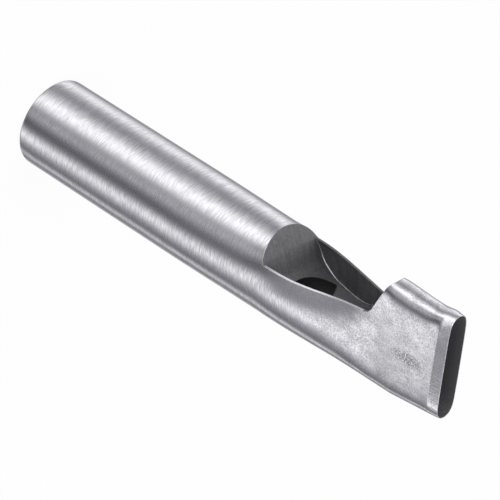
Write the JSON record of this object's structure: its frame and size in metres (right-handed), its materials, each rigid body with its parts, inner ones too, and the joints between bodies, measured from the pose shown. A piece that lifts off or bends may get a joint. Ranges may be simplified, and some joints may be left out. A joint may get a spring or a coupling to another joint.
{
  "type": "hollow punch",
  "caption": "Forged steel hollow punch for oblong holes: round shank, flattened hollow blade with a sharp obround edge, and a side window for the slugs.",
  "frame": {"origin": "centre of the struck face", "axes": "+Z along the shank from the struck face to the cutting edge, -Y out of the slug window, X across the thin blade"},
  "size_m": [0.018, 0.0233, 0.1033],
  "materials": {
    "steel": "shank ground bright across its axis, blade forged and polished, window and cavity left dull from milling"
  },
  "bodies": {
    "root": {"punch_body": "steel"}
  },
  "joints": []
}
